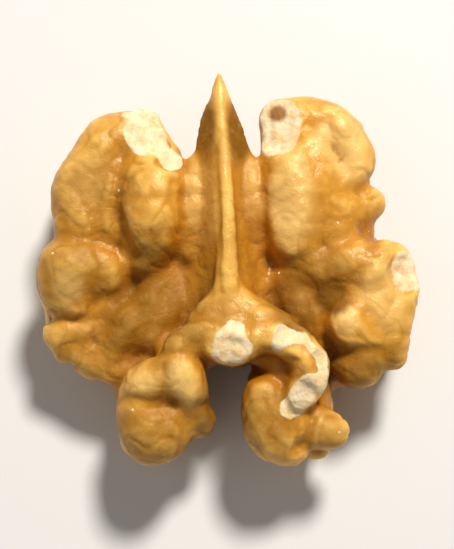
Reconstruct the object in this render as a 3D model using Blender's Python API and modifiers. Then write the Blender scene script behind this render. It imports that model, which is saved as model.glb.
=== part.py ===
"""Walnut kernel: one half, lying on its rounded back with the inner face up.

+Z is up and +Y points to the sharp tip. The tables are in millimetres and the finished mesh in metres.
The folds are chains of balls, fused with the blade by a voxel remesh and smoothed into one body.
The grooves of the back, the creases of the inner face and the broken facets are then pressed into it,
and the back is cut to rest at z = 0.
"""

import math

import bmesh
import bpy
import numpy as np
from mathutils import Vector, noise

MM = 0.001

# Driving dimensions, in mm: the box from above, and how much of the back is cut away to rest on
KERNEL_WIDTH = 30.6
KERNEL_LENGTH = 31.0
REST_CUT = 0.65

# The fused body: voxel in mm, smoothing in mm2, the gap between balls in radii, and the triangles kept
VOXEL = 0.26
SMOOTH_AREA = 0.07
LAST_SMOOTH_AREA = 0.0085
BEAD_STEP = 0.35
TRIANGLES = 10800

# Grooves run along the zeros of a noise field, bent by a slower one. Scales are in cycles a mm
GROOVE_SCALE = (0.19, 0.3, 0.24)
GROOVE_DEPTH = 1.15
GROOVE_WIDTH = 0.13
GROOVE_SEED = Vector((3.1, 0.7, 5.2))
BEND_SCALE = 0.16
BEND_REACH = 1.7
BEND_SEEDS = (Vector((0.0, 5.3, 1.7)), Vector((7.1, 0.0, 2.9)), Vector((3.7, 8.9, 0.0)))
WRINKLE_SCALE = 0.42
WRINKLE_DEPTH = 0.3
WRINKLE_WIDTH = 0.16

# How deep the grooves are on the inner face and how much shallower on the two curls, as shares
INNER_FACE_SHARE = 0.06
CURL_LOSS = 0.45

# Lumps over the whole kernel, each a scale and a height, and the share of them that the blade keeps
LUMPS = ((0.30, 0.17), (0.70, 0.09))
LUMP_SEED = Vector((11.3, 4.1, 7.7))
BLADE_LUMPS = 0.15

SKIN_COLOUR = (0.723, 0.356, 0.084, 1.0)
SKIN_ROUGHNESS = 0.42

# Each fold is a chain of x, y, z and radius
FOLDS = {
    "left_upper_outer": [
        (-7.4, 11.2, 7.4, 1.9),
        (-9.3, 10.5, 7.5, 2.3),
        (-10.7, 8.4, 7.3, 2.4),
        (-11.7, 6.2, 7.0, 2.4),
        (-11.4, 3.8, 6.6, 2.5),
    ],
    "left_upper_band": [(-6.6, 11.6, 8.0, 1.6), (-5.8, 10.2, 8.3, 1.5), (-4.7, 8.9, 8.3, 1.3)],
    "left_upper_inner": [
        (-5.4, 9.0, 8.2, 1.7),
        (-5.9, 6.6, 8.4, 2.7),
        (-6.0, 3.8, 8.1, 2.75),
        (-6.1, 1.4, 7.0, 2.1),
    ],
    "left_upper_web": [(-7.5, 9.6, 7.6, 2.1), (-8.3, 7.0, 7.5, 2.2), (-8.7, 4.0, 6.9, 2.2)],
    "left_middle": [(-9.8, 0.2, 6.2, 2.5), (-12.3, 0.1, 6.8, 2.8), (-12.6, -2.1, 6.6, 2.2)],
    "left_knob": [(-11.4, -4.0, 5.6, 2.0), (-13.2, -4.9, 5.8, 1.6)],
    "left_margin": [
        (-12.7, -5.8, 5.2, 1.5),
        (-11.6, -5.9, 5.3, 1.6),
        (-10.3, -7.2, 5.2, 1.6),
        (-8.3, -7.6, 5.2, 1.6),
    ],
    "left_swell_high": [(-5.4, -0.8, 6.2, 1.7), (-5.9, -2.6, 6.2, 1.8)],
    "left_swell_low": [(-7.4, -4.0, 5.9, 2.0), (-8.6, -5.6, 5.3, 2.0)],
    "left_valley": [
        (-4.2, 2.4, 5.5, 1.6),
        (-4.3, 0.0, 5.8, 1.7),
        (-4.5, -2.6, 6.0, 1.8),
        (-5.6, -4.8, 6.0, 1.9),
    ],
    "left_curl": [
        (-3.7, -8.2, 9.4, 1.7),
        (-6.2, -9.2, 8.6, 1.8),
        (-6.3, -11.0, 7.2, 2.3),
        (-5.5, -12.4, 6.6, 3.1),
    ],
    "left_curl_side": [(-3.3, -8.6, 8.9, 1.9), (-2.9, -10.1, 8.2, 1.7), (-2.2, -11.7, 5.9, 1.6)],
    "left_curl_middle": [(-4.8, -9.6, 7.7, 1.7), (-4.5, -11.2, 7.4, 1.9)],
    "bridge": [
        (-3.6, -6.4, 9.4, 1.4),
        (-1.8, -5.5, 9.8, 1.4),
        (0.4, -6.2, 9.8, 1.8),
        (2.5, -5.5, 9.8, 1.4),
        (4.5, -5.8, 9.8, 1.5),
        (6.2, -6.8, 9.6, 1.6),
        (6.6, -8.6, 9.2, 1.5),
        (5.8, -10.1, 8.9, 1.4),
    ],
    "bridge_foot": [
        (-4.0, -7.2, 7.4, 1.8),
        (-0.2, -5.4, 7.6, 2.0),
        (3.4, -6.2, 7.4, 1.8),
        (4.9, -7.9, 7.3, 1.8),
    ],
    "saddle_left": [(-0.1, -2.6, 9.2, 1.3), (-1.6, -4.7, 8.9, 1.7)],
    "saddle_middle": [(0.3, -2.6, 9.1, 1.5), (0.4, -4.0, 8.8, 2.0), (0.4, -5.4, 8.9, 2.1)],
    "saddle_right": [(0.5, -2.4, 9.2, 1.4), (2.2, -4.2, 8.9, 1.8), (4.2, -5.4, 9.0, 1.8)],
    "right_curl": [(2.9, -9.9, 8.0, 1.6), (3.6, -12.3, 7.0, 2.4), (4.8, -13.6, 6.4, 1.9)],
    "right_curl_knob": [(4.5, -12.0, 6.8, 2.0), (6.4, -12.2, 6.9, 1.9), (8.5, -12.8, 6.8, 1.4)],
    "right_curl_foot": [(6.0, -13.0, 4.8, 1.6), (7.3, -13.7, 4.6, 1.2)],
    "ridge": [
        (-0.55, 15.0, 9.9, 0.35),
        (-0.35, 12.0, 10.2, 0.45),
        (-0.1, 8.0, 10.35, 0.55),
        (0.1, 4.0, 10.35, 0.7),
        (0.1, 0.0, 10.0, 0.95),
        (0.2, -2.4, 9.5, 1.3),
    ],
    "left_strip": [
        (-2.5, 8.4, 8.4, 0.8),
        (-2.5, 7.0, 8.4, 1.1),
        (-2.6, 5.2, 8.3, 1.15),
        (-2.8, 3.4, 7.8, 1.15),
        (-3.0, 1.6, 7.0, 1.2),
    ],
    "right_strip": [
        (1.9, 8.5, 8.4, 0.8),
        (2.0, 7.0, 8.4, 1.05),
        (2.2, 5.2, 8.3, 1.1),
        (2.5, 3.6, 7.8, 1.1),
        (2.8, 2.0, 7.1, 1.15),
    ],
    "right_upper_outer": [
        (4.6, 12.0, 7.6, 2.0),
        (6.8, 12.1, 7.5, 2.2),
        (8.8, 11.2, 7.5, 2.2),
        (10.0, 9.3, 7.4, 2.1),
        (9.4, 7.6, 7.2, 2.0),
        (8.8, 6.2, 7.1, 2.1),
    ],
    "right_upper_inner": [
        (4.9, 10.6, 7.9, 2.2),
        (5.2, 8.0, 8.2, 2.5),
        (5.4, 5.2, 8.3, 2.6),
        (5.4, 2.9, 8.0, 2.3),
        (5.4, 1.2, 7.3, 1.6),
    ],
    "right_upper_web": [
        (7.0, 9.6, 7.7, 2.3),
        (7.1, 6.8, 7.8, 2.4),
        (7.2, 4.4, 7.7, 2.3),
        (7.0, 2.6, 7.3, 2.0),
    ],
    "right_shoulder": [(7.6, 6.3, 7.6, 2.0), (8.5, 4.4, 7.4, 2.3), (8.7, 2.4, 7.0, 2.1)],
    "right_knob": [(9.2, 4.4, 7.0, 2.2), (10.4, 5.1, 6.9, 1.9), (11.3, 5.5, 6.8, 1.6)],
    "right_knob_foot": [(10.4, 3.6, 6.0, 1.8), (9.4, 6.4, 6.2, 1.8)],
    "right_shelf": [(5.6, 0.7, 7.0, 1.8), (7.8, 0.3, 7.1, 2.2), (10.2, 0.5, 7.5, 2.3)],
    "right_slope": [(5.0, -0.8, 6.3, 1.8), (6.1, -2.9, 6.3, 1.95), (7.4, -5.0, 6.1, 2.0)],
    "right_hollow": [(8.5, -0.9, 6.8, 2.0), (8.3, -2.7, 6.4, 1.9)],
    "right_lower_rim": [
        (11.4, -0.2, 7.7, 2.2),
        (13.0, 0.7, 7.3, 1.8),
        (13.7, -1.6, 7.1, 1.7),
        (12.8, -4.2, 7.0, 2.0),
        (13.0, -6.4, 6.2, 1.6),
    ],
    "right_lower_plate": [(11.9, -1.4, 7.2, 2.2), (11.8, -3.4, 7.1, 2.3), (11.9, -5.4, 6.7, 2.0)],
    "right_lower_inner": [
        (10.6, -2.6, 6.8, 2.1),
        (9.5, -4.5, 7.9, 2.0),
        (10.9, -5.6, 6.9, 2.4),
        (10.5, -7.1, 6.2, 2.3),
    ],
}

# Creases of the inner face: depth and width in mm, and the route as x, y. They fade out under this range of z
CREASE_FADE = (5.0, 6.5)
CREASES = {
    "midrib": (0.22, 0.15, [(-0.72, 9.0), (-0.62, 6.0), (-0.5, 2.0), (-0.55, -0.6), (-0.3, -2.4)]),
    "left_folds": (0.45, 0.5, [(-8.1, 9.2), (-8.6, 7.0), (-8.9, 4.9), (-8.4, 2.7), (-7.4, 0.9)]),
    "left_ball": (0.4, 0.4, [(-15.0, -3.7), (-13.5, -3.6), (-11.9, -4.2), (-10.3, -3.9)]),
    "right_top": (0.18, 0.4, [(8.0, 12.0), (8.3, 10.3), (9.0, 8.8), (9.7, 7.6)]),
    "right_low": (0.35, 0.5, [(7.6, -5.8), (9.4, -6.9), (11.9, -6.5)]),
    "left_curl": (0.3, 0.5, [(-7.6, -10.3), (-5.4, -11.0), (-3.8, -10.8), (-2.7, -11.4), (-1.3, -10.8)]),
    "left_curl_top": (0.2, 0.35, [(-4.8, -8.0), (-4.6, -9.8), (-3.9, -11.0)]),
    "right_curl": (0.4, 0.4, [(6.8, -11.5), (6.4, -13.2), (5.4, -14.4)]),
}

# Sections of the blade that ends in the tip, and of its widening foot: y, middle x, half width at the
# edges, half width of the underside, and z of the edges, crest and underside
BLADE = [
    (15.7, -0.58, 0.25, 0.15, 9.95, 10.2, 9.8),
    (14.0, -0.52, 0.9, 0.5, 9.6, 10.4, 9.1),
    (12.6, -0.50, 1.5, 0.8, 9.2, 10.5, 8.4),
    (10.3, -0.25, 2.2, 1.2, 8.7, 10.6, 7.5),
    (8.1, -0.25, 2.7, 1.6, 8.4, 10.7, 6.8),
    (5.8, -0.2, 3.0, 3.2, 8.1, 10.7, 5.4),
    (3.6, -0.2, 3.4, 4.4, 7.6, 10.6, 4.6),
    (0.0, 0.1, 4.3, 5.2, 6.6, 10.3, 4.4),
    (-3.0, 0.3, 4.9, 5.6, 6.3, 9.9, 4.4),
    (-5.4, 0.4, 4.3, 4.8, 6.3, 9.4, 4.6),
]
CREST_WIDTH = 0.4
TIP_CREST_SHARE = 0.6

# Where each flank of the blade turns from steep to flat, as shares of its width and of its drop
KNEE_PLACE = 0.5
KNEE_DROP = 0.62

# Half the width of the blade that stays plain at its foot, and how fast that narrows to the tip
PLAIN_WIDTH = 2.6
PLAIN_TAPER = 0.06

# The rounded back behind the folds: centre and radii
BODIES = [
    ((-6.6, 1.4, 3.1), (5.4, 9.6, 3.9)),
    ((6.6, 1.2, 3.1), (5.4, 9.8, 3.9)),
    ((-9.0, 6.6, 4.0), (5.0, 6.2, 3.9)),
    ((-9.8, -1.8, 3.6), (5.2, 6.0, 3.6)),
    ((7.4, 8.0, 4.0), (4.7, 6.1, 3.9)),
    ((9.5, -2.4, 3.9), (5.4, 6.7, 3.9)),
    ((11.2, -2.2, 5.1), (3.6, 4.6, 4.2)),
    ((0.0, 0.4, 4.4), (4.8, 8.2, 2.9)),
    ((-5.4, -10.0, 4.0), (3.5, 5.1, 3.6)),
    ((5.2, -9.8, 4.0), (3.6, 4.9, 3.6)),
]

# Broken facets: x, y, radius, how far the plane lies under the surface, and the direction it faces.
# A facet fades out between these shares of its radius, and takes nothing higher than its reach
CHIP_FADE = (0.85, 1.25)
CHIP_REACH = 2.5
CHIP_SAMPLE = 0.45
CHIPS = {
    "left_band_top": (-6.5, 12.1, 1.7, 0.6, (0.25, 0.3, 1.0)),
    "left_band_middle": (-5.9, 10.6, 1.6, 0.55, (0.35, 0.15, 1.0)),
    "left_band_low": (-4.6, 9.0, 1.6, 0.55, (0.55, 0.25, 1.0)),
    "right_top": (4.5, 11.6, 2.5, 0.8, (-0.35, 0.1, 1.0)),
    "bridge_middle": (0.4, -6.7, 1.7, 0.55, (0.0, -0.35, 1.0)),
    "bridge_right": (5.3, -6.2, 1.5, 0.45, (0.15, 0.3, 1.0)),
    "bend": (7.2, -8.3, 1.5, 0.5, (0.45, 0.0, 1.0)),
    "bend_end": (5.6, -10.4, 1.4, 0.45, (0.1, -0.35, 1.0)),
    "right_rim": (13.9, -0.5, 1.5, 0.45, (0.5, 0.0, 1.0)),
}


def clear_scene():
    for obj in list(bpy.data.objects):
        bpy.data.objects.remove(obj)


def unit_ball():
    """Points and triangles of an icosphere of radius 1."""
    work = bmesh.new()
    bmesh.ops.create_icosphere(work, subdivisions=3, radius=1.0)
    points = np.array([v.co for v in work.verts])
    faces = [[v.index for v in f.verts] for f in work.faces]
    work.free()
    return points, faces


def smooth_chain(points):
    """Rows along a Catmull-Rom curve through the given rows, close enough for the balls to overlap."""
    rows = np.array(points, float)
    padded = np.vstack([2 * rows[0] - rows[1], rows, 2 * rows[-1] - rows[-2]])
    out = []
    for a, b, c, d in zip(padded, padded[1:], padded[2:], padded[3:]):
        gap = np.linalg.norm(c[:3] - b[:3])
        steps = math.ceil(gap / (BEAD_STEP * min(b[3], c[3])))
        for t in np.arange(steps) / steps:
            bend = (2 * a - 5 * b + 4 * c - d) * t**2
            twist = (3 * b - a - 3 * c + d) * t**3
            out.append(0.5 * (2 * b + (c - a) * t + bend + twist))
    return np.array(out + [rows[-1]])


def ellipsoids():
    """Centre and radii of every ball in the kernel, in mm."""
    for centre, radii in BODIES:
        yield centre, radii
    for chain in FOLDS.values():
        for x, y, z, radius in smooth_chain(chain):
            yield (x, y, z), (radius,) * 3


def blade_shell():
    """Points and faces of the roof-shaped blade."""
    points, faces = [], []
    for y, middle, half, foot, edge, crest, under in BLADE:
        top = min(CREST_WIDTH, TIP_CREST_SHARE * half)
        knee = top + KNEE_PLACE * (half - top)
        knee_z = crest - KNEE_DROP * (crest - edge)
        section = [
            (-half, edge),
            (-knee, knee_z),
            (-top, crest),
            (top, crest),
            (knee, knee_z),
            (half, edge),
            (foot, under),
            (-foot, under),
        ]
        points += [(middle + across, y, z) for across, z in section]
    count = len(section)
    for row in range(len(BLADE) - 1):
        for i in range(count):
            a = row * count + i
            b = row * count + (i + 1) % count
            faces.append([a, a + count, b + count, b])
    faces.append(list(range(count)))
    faces.append(list(range(len(points) - 1, len(points) - 1 - count, -1)))
    return np.array(points), faces


def rough_body(name):
    """Every ball and the blade, overlapping in one mesh."""
    ball, ball_faces = unit_ball()
    blade, faces = blade_shell()
    points = [blade]
    start = len(blade)
    for centre, radii in ellipsoids():
        points.append(ball * radii + centre)
        faces += [[i + start for i in face] for face in ball_faces]
        start += len(ball)
    mesh = bpy.data.meshes.new(name)
    mesh.from_pydata(np.vstack(points).tolist(), [], faces)
    obj = bpy.data.objects.new(name, mesh)
    bpy.context.scene.collection.objects.link(obj)
    return obj


def apply_modifiers(obj):
    graph = bpy.context.evaluated_depsgraph_get()
    mesh = bpy.data.meshes.new_from_object(obj.evaluated_get(graph))
    obj.modifiers.clear()
    obj.data = mesh


def fuse(obj, voxel, smooth_area):
    """One closed skin round everything in the mesh, smoothed by the same amount at any voxel size."""
    remesh = obj.modifiers.new("fuse", "REMESH")
    remesh.mode = "VOXEL"
    remesh.voxel_size = voxel
    smooth = obj.modifiers.new("soften", "SMOOTH")
    smooth.factor = 0.5
    smooth.iterations = max(1, round(smooth_area / (0.125 * voxel**2)))
    apply_modifiers(obj)


def points_of(obj):
    points = np.empty(len(obj.data.vertices) * 3, np.float32)
    obj.data.vertices.foreach_get("co", points)
    return points.reshape(-1, 3).astype(float)


def normals_of(obj):
    return np.array([v.normal for v in obj.data.vertices])


def move_points(obj, points):
    obj.data.vertices.foreach_set("co", points.astype(np.float32).ravel())
    obj.data.update()


def ramp(value, low, high):
    """0 at low, 1 at high, eased."""
    t = np.clip((value - low) / (high - low), 0.0, 1.0)
    return t * t * (3 - 2 * t)


def groove_field(point):
    """How far this point is pressed in by the grooves of the back, in mm."""
    p = Vector(point)
    bent = p + BEND_REACH * Vector([noise.noise(p * BEND_SCALE + seed) for seed in BEND_SEEDS])
    groove = noise.noise(bent * Vector(GROOVE_SCALE) + GROOVE_SEED)
    wrinkle = noise.noise(p * WRINKLE_SCALE)
    press = GROOVE_DEPTH * math.exp(-((groove / GROOVE_WIDTH) ** 2))
    return press + WRINKLE_DEPTH * math.exp(-((wrinkle / WRINKLE_WIDTH) ** 2))


def lump_field(point):
    """How far this point stands out, in mm."""
    p = Vector(point) + LUMP_SEED
    return sum(height * noise.noise(p * scale) for scale, height in LUMPS)


def blade_share(points):
    """1 on the blade and its foot, 0 elsewhere."""
    width = PLAIN_WIDTH - PLAIN_TAPER * np.maximum(points[:, 1], 0.0)
    inside = ramp(width - np.abs(points[:, 0]), 0.0, 1.2)
    return inside * ramp(points[:, 1], -3.0, 0.0) * ramp(points[:, 2], 5.5, 7.0)


def back_share(points, normals):
    """1 on the rounded back, a little on the folds of the inner face."""
    facing = ramp(-normals[:, 2], -0.45, 0.05)
    low = ramp(-points[:, 2], -7.4, -4.4)
    curls = 1 - CURL_LOSS * ramp(-points[:, 1], 7.5, 9.5)
    return np.maximum(facing * low * curls, INNER_FACE_SHARE)


def crease_press(points):
    """How far each point is pressed in by the named creases, in mm."""
    flat = points[:, :2]
    press = np.zeros(len(points))
    for depth, width, line in CREASES.values():
        route = np.array(line)
        gap = np.full(len(points), np.inf)
        for start, end in zip(route, route[1:]):
            along = end - start
            t = np.clip((flat - start) @ along / (along @ along), 0.0, 1.0)
            gap = np.minimum(gap, np.linalg.norm(flat - start - np.outer(t, along), axis=1))
        press += depth * np.exp(-((gap / width) ** 2))
    return press * ramp(points[:, 2], *CREASE_FADE)


def press_grooves_and_lumps(obj):
    points, normals = points_of(obj), normals_of(obj)
    plain = 1 - blade_share(points)
    share = back_share(points, normals) * plain
    press = np.array([groove_field(p) for p in points]) * share + crease_press(points)
    lumps = np.array([lump_field(p) for p in points]) * (BLADE_LUMPS + (1 - BLADE_LUMPS) * plain)
    move_points(obj, points + normals * (lumps - press)[:, None])


def chip_planes(points):
    """Centre, unit normal and radius of each broken facet, placed under the surface."""
    for x, y, radius, depth, facing in CHIPS.values():
        near = np.hypot(points[:, 0] - x, points[:, 1] - y) < CHIP_SAMPLE
        top = points[near][:, 2].max()
        normal = np.array(facing) / np.linalg.norm(facing)
        yield np.array([x, y, top - depth]), normal, radius


def press_chips(obj):
    points = points_of(obj)
    for centre, normal, radius in chip_planes(points):
        offset = points - centre
        height = offset @ normal
        reach = np.linalg.norm(offset - np.outer(height, normal), axis=1)
        share = 1 - ramp(reach, radius * CHIP_FADE[0], radius * CHIP_FADE[1])
        above = (height > 0) & (height < CHIP_REACH)
        points -= np.outer(np.where(above, height * share, 0.0), normal)
    move_points(obj, points)


def full_body(name, voxel):
    """The whole kernel before it is thinned out and cut, in mm."""
    kernel = rough_body(name)
    fuse(kernel, voxel, SMOOTH_AREA)
    press_grooves_and_lumps(kernel)
    press_chips(kernel)
    fuse(kernel, voxel, LAST_SMOOTH_AREA)
    return kernel


def thin_out(obj, triangles):
    obj.data.calc_loop_triangles()
    decimate = obj.modifiers.new("thin out", "DECIMATE")
    decimate.ratio = triangles / len(obj.data.loop_triangles)
    apply_modifiers(obj)


def place(obj):
    """The driving width and length, centred on the origin, with the rest plane at z = 0, in metres."""
    points = points_of(obj)
    low, high = points.min(axis=0), points.max(axis=0)
    middle = (low + high) / 2
    middle[2] = low[2] + REST_CUT
    scale = np.array([KERNEL_WIDTH / (high[0] - low[0]), KERNEL_LENGTH / (high[1] - low[1]), 1.0])
    move_points(obj, (points - middle) * scale * MM)


def cut_to_rest(obj, collection):
    """Takes away what lies below z = 0, which leaves flat spots on the back."""
    side = 2 * KERNEL_LENGTH * MM
    work = bmesh.new()
    bmesh.ops.create_cube(work, size=side)
    bmesh.ops.translate(work, verts=work.verts, vec=(0, 0, -side / 2))
    mesh = bpy.data.meshes.new("rest_cutter")
    work.to_mesh(mesh)
    work.free()
    cutter = bpy.data.objects.new("rest_cutter", mesh)
    cutter.hide_render = True
    cutter.display_type = "WIRE"
    collection.objects.link(cutter)
    cut = obj.modifiers.new("rest", "BOOLEAN")
    cut.operation = "DIFFERENCE"
    cut.solver = "EXACT"
    cut.object = cutter


def skin_material():
    material = bpy.data.materials.new("skin")
    material.use_nodes = True
    shader = material.node_tree.nodes["Principled BSDF"]
    shader.inputs["Base Color"].default_value = SKIN_COLOUR
    shader.inputs["Roughness"].default_value = SKIN_ROUGHNESS
    return material


def new_collection(name):
    collection = bpy.data.collections.new(name)
    bpy.context.scene.collection.children.link(collection)
    return collection


def main():
    clear_scene()
    kernels = new_collection("walnut_kernel")
    cutters = new_collection("cutters")
    kernel = full_body("kernel", VOXEL)
    thin_out(kernel, TRIANGLES)
    place(kernel)
    cut_to_rest(kernel, cutters)
    kernel.data.shade_smooth()
    kernel.data.materials.append(skin_material())
    kernels.objects.link(kernel)
    bpy.context.scene.collection.objects.unlink(kernel)
    cutters.hide_render = True


if __name__ == "__main__":
    main()
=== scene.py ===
"""Dresses the walnut kernel: the folds again on a finer mesh, with its skin, veins and broken spots.

Shapes are made in millimetres and put into the frame in metres. +Z is up and +Y points to the sharp tip.
"""

import math

import bmesh
import bpy
import numpy as np
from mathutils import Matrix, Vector, noise
from mathutils.bvhtree import BVHTree


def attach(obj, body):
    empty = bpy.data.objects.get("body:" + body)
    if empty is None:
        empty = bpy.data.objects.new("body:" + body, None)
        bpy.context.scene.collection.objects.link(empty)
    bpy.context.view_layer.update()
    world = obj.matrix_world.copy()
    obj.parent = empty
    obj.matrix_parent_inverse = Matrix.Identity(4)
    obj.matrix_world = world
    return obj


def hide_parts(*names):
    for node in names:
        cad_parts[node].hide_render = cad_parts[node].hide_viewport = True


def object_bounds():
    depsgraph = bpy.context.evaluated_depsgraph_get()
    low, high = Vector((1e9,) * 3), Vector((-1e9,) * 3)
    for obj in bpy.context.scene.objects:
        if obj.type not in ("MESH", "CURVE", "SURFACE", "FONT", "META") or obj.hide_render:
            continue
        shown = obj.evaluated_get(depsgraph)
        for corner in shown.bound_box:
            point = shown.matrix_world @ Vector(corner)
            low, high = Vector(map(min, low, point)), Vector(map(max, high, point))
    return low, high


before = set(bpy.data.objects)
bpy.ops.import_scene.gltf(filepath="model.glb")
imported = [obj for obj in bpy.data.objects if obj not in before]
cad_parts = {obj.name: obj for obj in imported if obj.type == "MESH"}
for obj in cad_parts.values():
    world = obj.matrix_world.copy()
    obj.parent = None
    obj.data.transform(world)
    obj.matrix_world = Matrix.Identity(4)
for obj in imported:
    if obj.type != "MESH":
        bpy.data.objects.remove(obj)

CAD_BOX = [list(corner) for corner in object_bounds()]
MM = 0.001

# How much of the back is cut away to rest on, in mm
REST_CUT = 0.65

# The fused body: voxel in mm, smoothing in mm2, and how far one pass takes a point to its neighbours' mean
VOXEL = 0.198
SMOOTH_AREA = 0.07
LAST_SMOOTH_AREA = 0.0085
SMOOTH_FACTOR = 0.5

# The balls: rounds of splitting each icosphere, and the gap between neighbours in radii
BALL_SPLITS = 3
BEAD_STEP = 0.35

# Grooves run along the zeros of a noise field, bent by a slower one. Scales are in cycles a mm
GROOVE_SCALE = (0.19, 0.3, 0.24)
GROOVE_DEPTH = 1.15
GROOVE_WIDTH = 0.13
GROOVE_SEED = Vector((3.1, 0.7, 5.2))
BEND_SCALE = 0.16
BEND_REACH = 1.7
BEND_SEEDS = (Vector((0.0, 5.3, 1.7)), Vector((7.1, 0.0, 2.9)), Vector((3.7, 8.9, 0.0)))
WRINKLE_SCALE = 0.42
WRINKLE_DEPTH = 0.3
WRINKLE_WIDTH = 0.16

# How deep the grooves are on the inner face and how much shallower on the two curls, as shares
INNER_FACE_SHARE = 0.06
CURL_LOSS = 0.45

# Ranges over which the grooves grow to their full depth, of the upward share of the normal and of z,
# and over which the curls begin, of y
BACK_FACING = (0.45, -0.05)
BACK_HEIGHT = (7.4, 4.4)
CURL_START = (-7.5, -9.5)

# Lumps over the whole kernel, each a scale and a height, and the share of them that the blade keeps
LUMPS = ((0.30, 0.17), (0.70, 0.09))
LUMP_SEED = Vector((11.3, 4.1, 7.7))
BLADE_LUMPS = 0.15

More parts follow.
